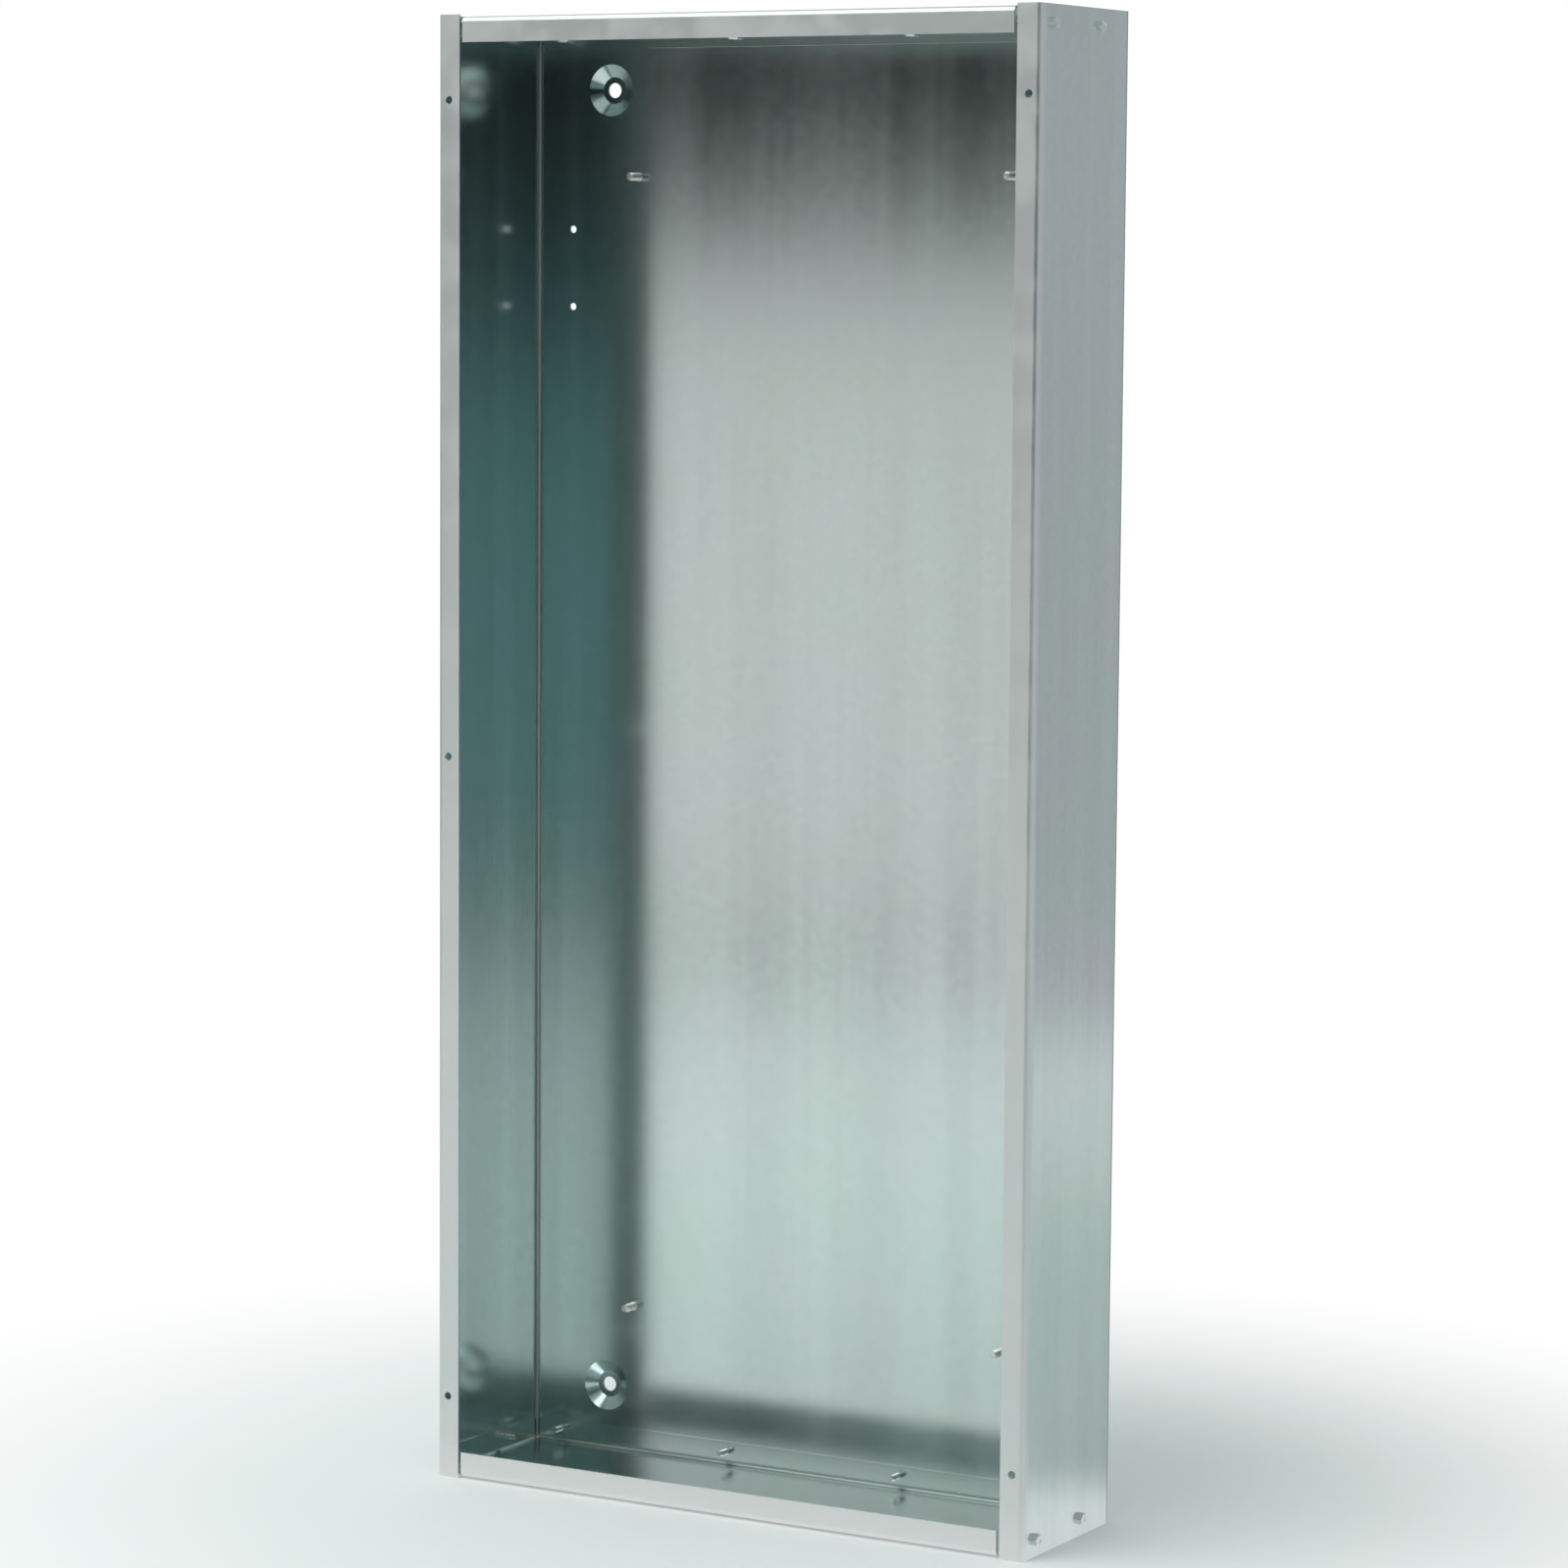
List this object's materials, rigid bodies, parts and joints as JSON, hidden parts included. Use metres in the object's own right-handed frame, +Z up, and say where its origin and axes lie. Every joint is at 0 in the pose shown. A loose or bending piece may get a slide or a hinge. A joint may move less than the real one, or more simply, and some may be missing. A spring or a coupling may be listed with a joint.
{
  "type": "panelboard enclosure",
  "caption": "Empty galvanised steel wall box for a panelboard, open at the front, with inward flanges, screwed end walls, mounting pads and interior studs.",
  "frame": {"origin": "under the middle of the box, on the plane that it stands on", "axes": "+X to the right seen from the front, +Y from the open front to the wall, +Z up"},
  "size_m": [0.5156, 0.146, 1.1176],
  "materials": {
    "galvanised_sheet": "galvanised sheet, satin, with faint rolling streaks",
    "plated_screws": "zinc plated, bright",
    "plated_studs": "zinc plated, dull"
  },
  "bodies": {
    "root": {"back_and_sides": "galvanised_sheet", "bottom_end_wall": "galvanised_sheet", "top_end_wall": "galvanised_sheet", "bottom_wall_screws": "plated_screws", "top_wall_screws": "plated_screws", "interior_studs": "plated_studs"}
  },
  "joints": []
}
